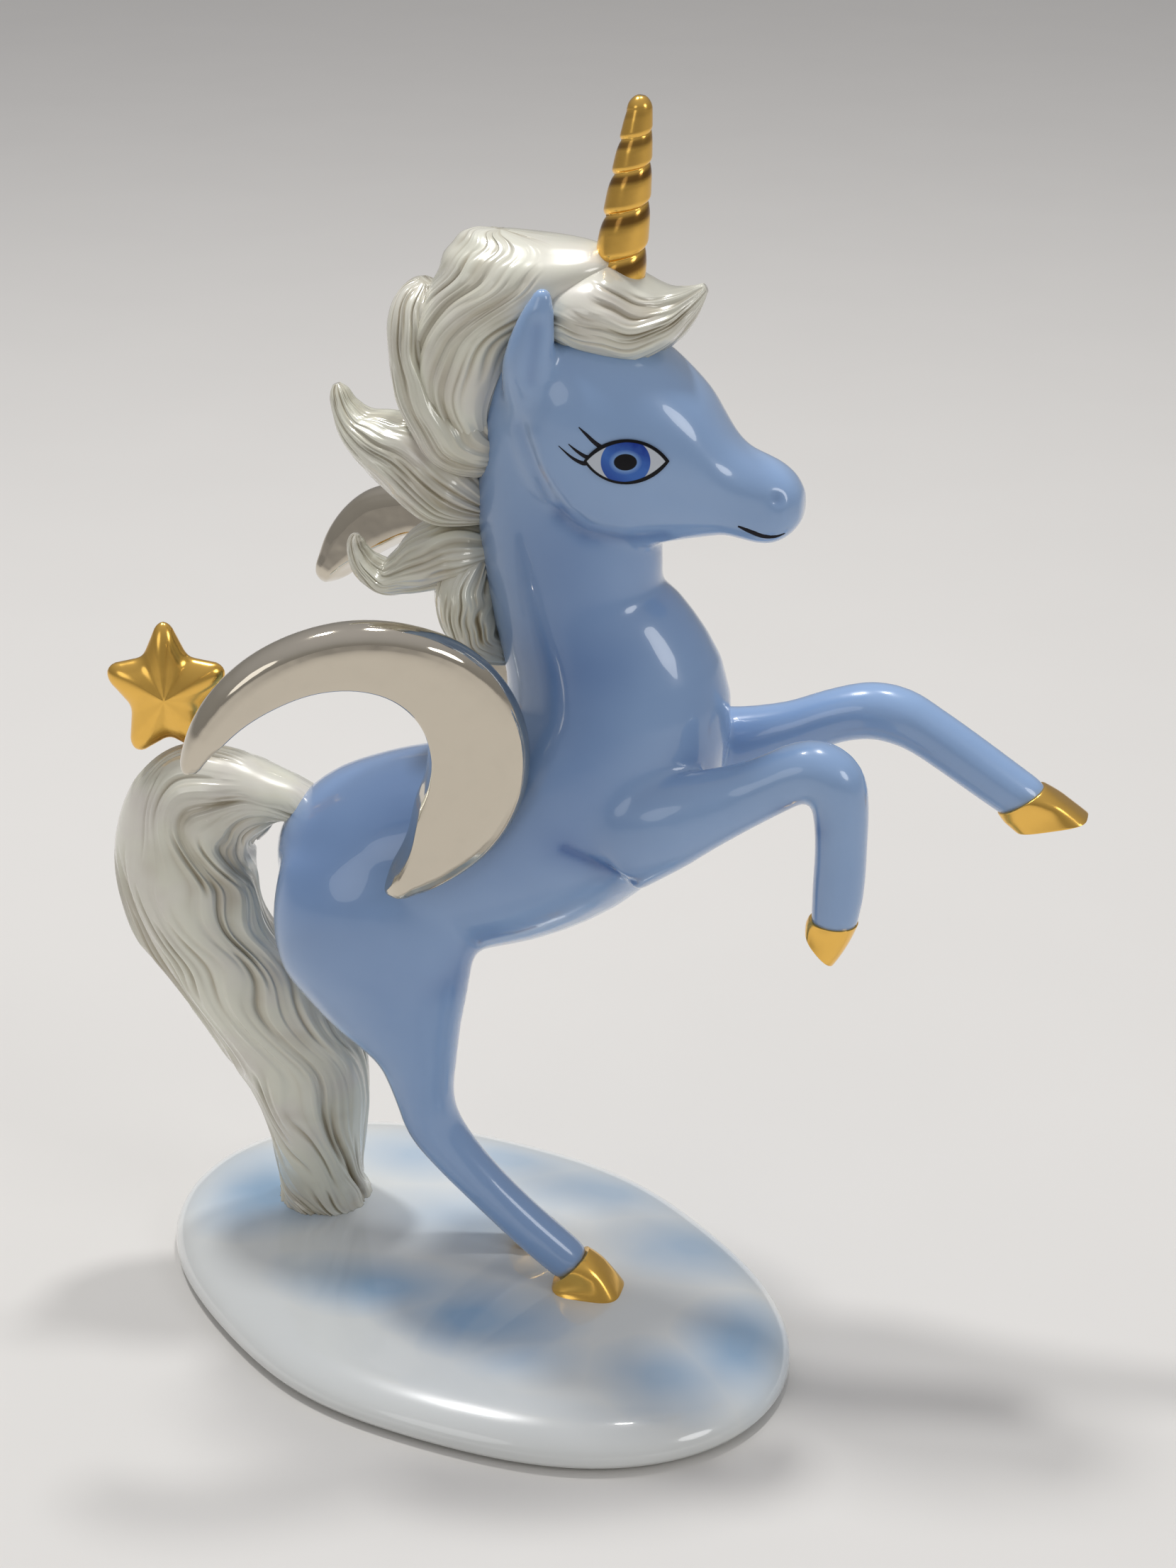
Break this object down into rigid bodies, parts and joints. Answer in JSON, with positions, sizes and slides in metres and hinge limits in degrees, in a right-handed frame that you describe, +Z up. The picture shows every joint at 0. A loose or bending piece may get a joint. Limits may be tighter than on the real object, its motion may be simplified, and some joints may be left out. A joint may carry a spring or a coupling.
{
  "type": "unicorn figurine",
  "caption": "Free-standing glazed porcelain figurine of a rearing unicorn on a cloud-shaped base, with crescent moons at the shoulders and a star on the tail.",
  "frame": {"origin": "on the flat underside of the base, below the animal's middle plane", "axes": "+Z up, +X the way the animal faces, +Y to its left side"},
  "size_m": [0.1164, 0.067, 0.1505],
  "materials": {
    "blue_glaze": "gloss",
    "pearl_glaze": "pearl lustre",
    "white_glaze": "gloss",
    "gold_lustre": "gold lustre",
    "platinum_lustre": "platinum lustre"
  },
  "bodies": {
    "root": {"cloud_base": "white_glaze", "torso": "blue_glaze", "neck": "blue_glaze", "head": "blue_glaze", "right_ear": "blue_glaze", "left_ear": "blue_glaze", "horn": "gold_lustre", "forelock": "pearl_glaze", "mane_poll": "pearl_glaze", "mane_crest": "pearl_glaze", "mane_upper_curl": "pearl_glaze", "mane_lower_curl": "pearl_glaze", "mane_withers": "pearl_glaze", "tail": "pearl_glaze", "star": "gold_lustre", "right_crescent": "platinum_lustre", "left_crescent": "platinum_lustre", "right_foreleg": "blue_glaze", "left_foreleg": "blue_glaze", "right_hind_leg": "blue_glaze", "left_hind_leg": "blue_glaze", "right_fore_hoof": "gold_lustre", "left_fore_hoof": "gold_lustre", "right_hind_hoof": "gold_lustre", "left_hind_hoof": "gold_lustre"}
  },
  "joints": []
}
